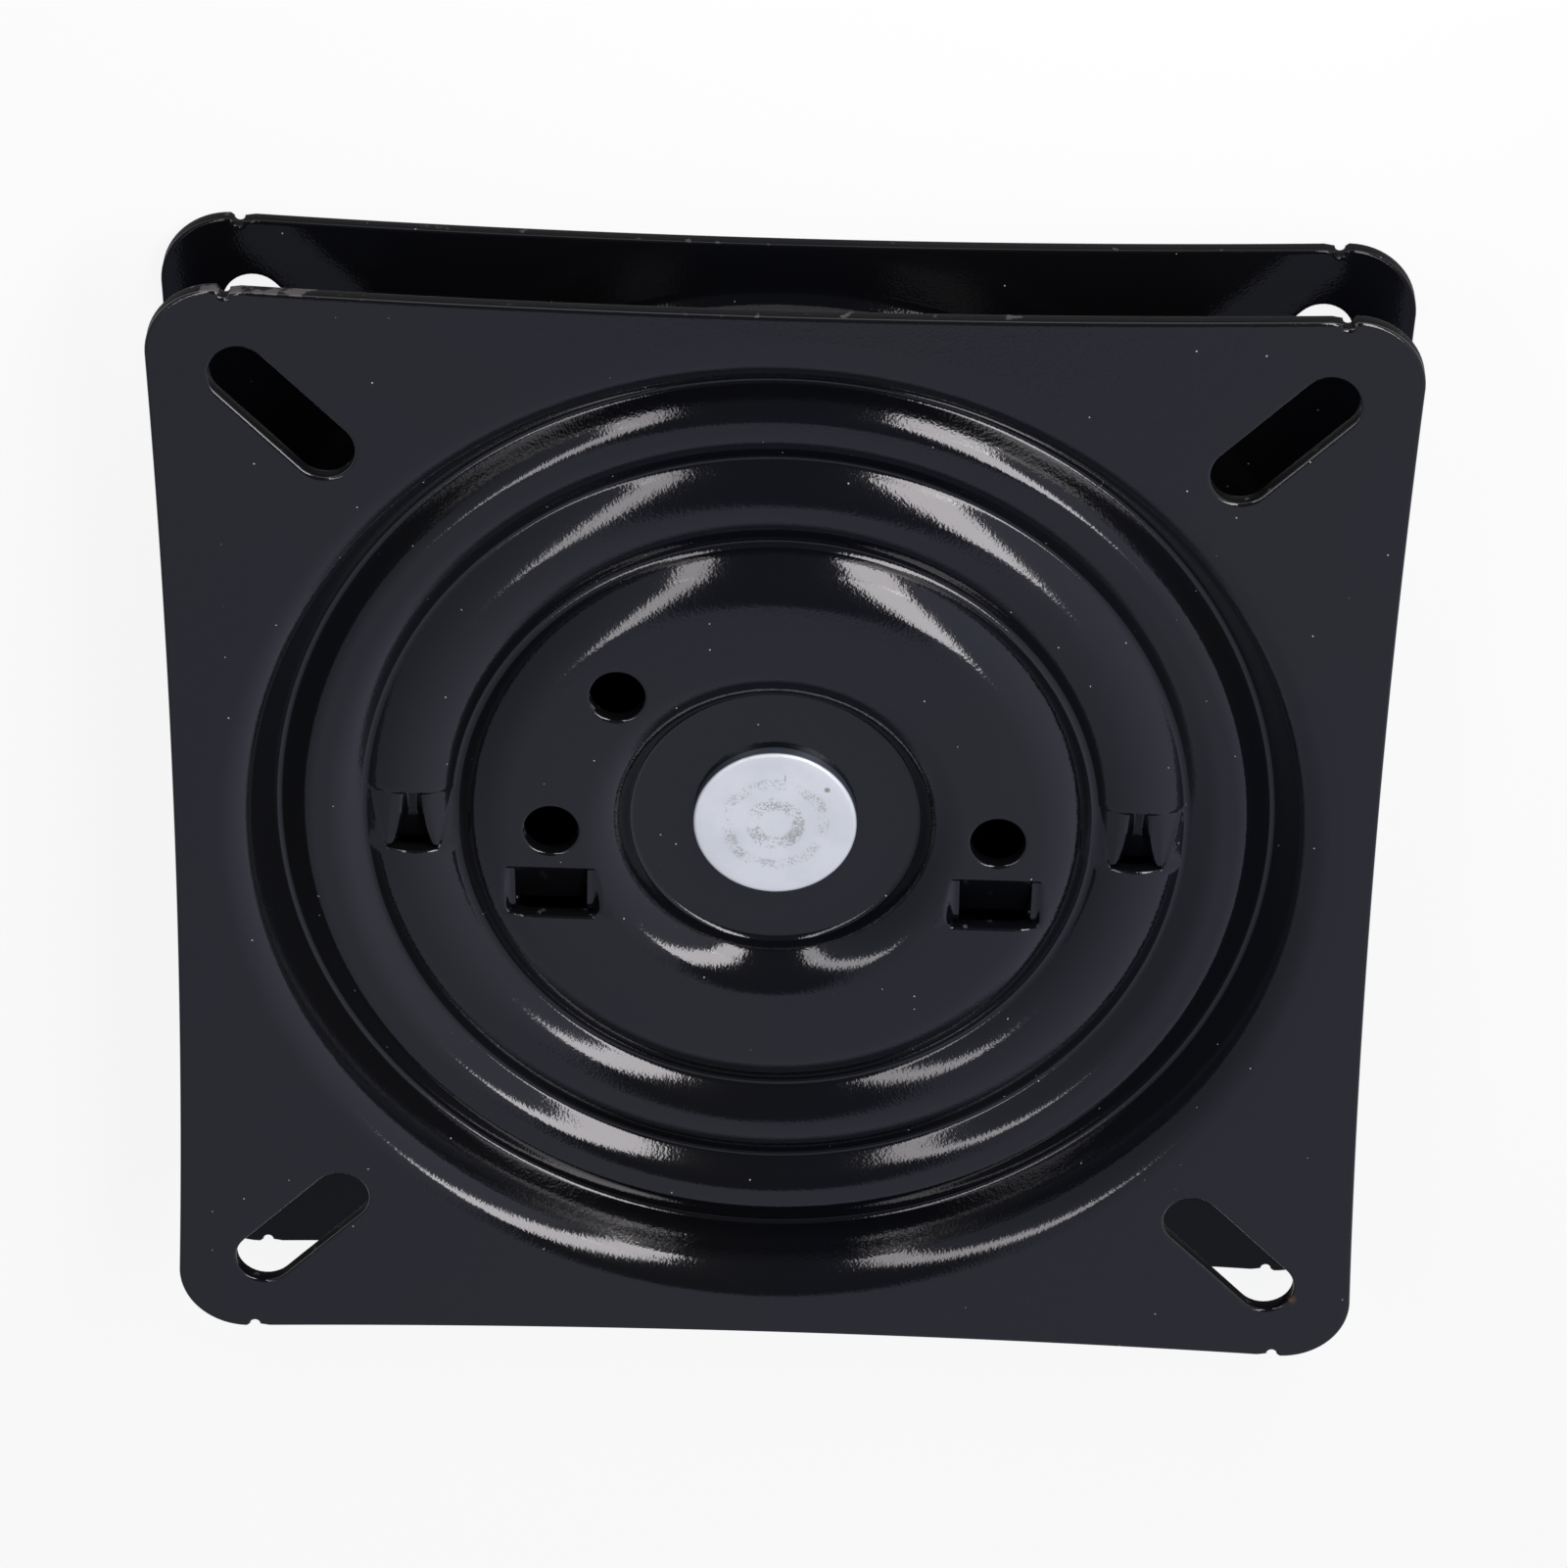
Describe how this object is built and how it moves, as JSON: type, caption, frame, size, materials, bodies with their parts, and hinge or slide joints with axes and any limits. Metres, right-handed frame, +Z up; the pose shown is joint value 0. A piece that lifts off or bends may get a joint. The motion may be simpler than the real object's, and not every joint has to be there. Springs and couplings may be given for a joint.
{
  "type": "stool swivel plate",
  "caption": "Square pressed-steel swivel plate for a stool seat: two dished plates with diagonal bolt slots turn on a caged ball race about a central rivet.",
  "frame": {"origin": "centre of the base plate's mounting face, on the swivel axis", "axes": "+Z up along the swivel axis towards the seat plate, +X and +Y along the square's edges, both pairs of lanced tabs opening towards -Y"},
  "size_m": [0.1778, 0.1778, 0.0244],
  "materials": {
    "black_paint": "gloss black electrocoat",
    "zinc_steel": "bright zinc plate, scuffed",
    "spacer_plastic": "natural nylon",
    "cage_steel": "oiled strip steel",
    "ball_steel": "polished"
  },
  "bodies": {
    "base": {"base_plate": "black_paint", "pivot_rivet": "zinc_steel", "spacer_washer": "spacer_plastic", "backing_washer": "zinc_steel"},
    "seat": {"seat_plate": "black_paint"},
    "ball_ring": {"ball_cage": "cage_steel", "ball_01": "ball_steel", "ball_02": "ball_steel", "ball_03": "ball_steel", "ball_04": "ball_steel", "ball_05": "ball_steel", "ball_06": "ball_steel", "ball_07": "ball_steel", "ball_08": "ball_steel", "ball_09": "ball_steel", "ball_10": "ball_steel", "ball_11": "ball_steel", "ball_12": "ball_steel", "ball_13": "ball_steel", "ball_14": "ball_steel", "ball_15": "ball_steel", "ball_16": "ball_steel", "ball_17": "ball_steel", "ball_18": "ball_steel", "ball_19": "ball_steel", "ball_20": "ball_steel", "ball_21": "ball_steel", "ball_22": "ball_steel", "ball_23": "ball_steel", "ball_24": "ball_steel"}
  },
  "joints": [
    {"name": "seat_swivel", "type": "hinge", "parent": "base", "child": "seat", "pos_m": [0, 0, 0.0244], "axis": [0, 0, 1], "continuous": true},
    {"name": "ball_ring_roll", "type": "hinge", "parent": "base", "child": "ball_ring", "pos_m": [0, 0, 0.0122], "axis": [0, 0, 1], "continuous": true}
  ],
  "couplings": [
    {"joint": "ball_ring_roll", "follows": "seat_swivel", "ratio": 0.5}
  ]
}
